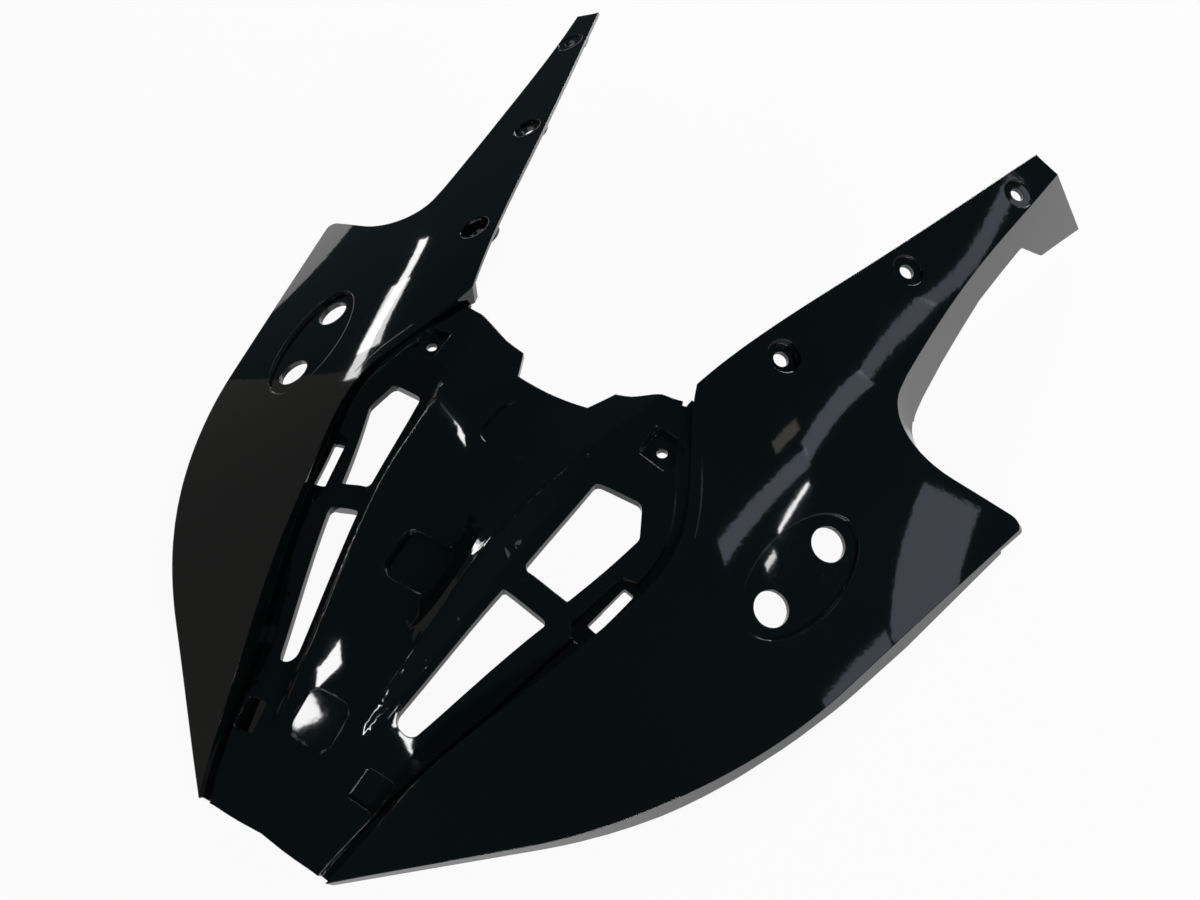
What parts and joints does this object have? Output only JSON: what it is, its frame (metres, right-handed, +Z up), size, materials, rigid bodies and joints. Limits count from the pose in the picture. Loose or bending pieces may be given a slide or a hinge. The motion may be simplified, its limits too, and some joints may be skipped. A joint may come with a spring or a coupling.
{
  "type": "motorcycle upper front cowl",
  "caption": "Gloss black moulded nose fairing for a sport motorcycle: spined centre with air slots, swept flanks with mirror pads, and arms that carry the windscreen",
  "frame": {"origin": "centre of the bounding box on the floor plane that the rim rests on", "axes": "nose towards -Y, arms towards +Y, +X to the right when seen from behind the nose looking along +Y, +Z up through the outer skin"},
  "size_m": [0.4646, 0.556, 0.0815],
  "materials": {
    "gloss_shell": "deep gloss black, self-coloured plastic under clear coat"
  },
  "bodies": {
    "root": {"cowl": "gloss_shell"}
  },
  "joints": []
}
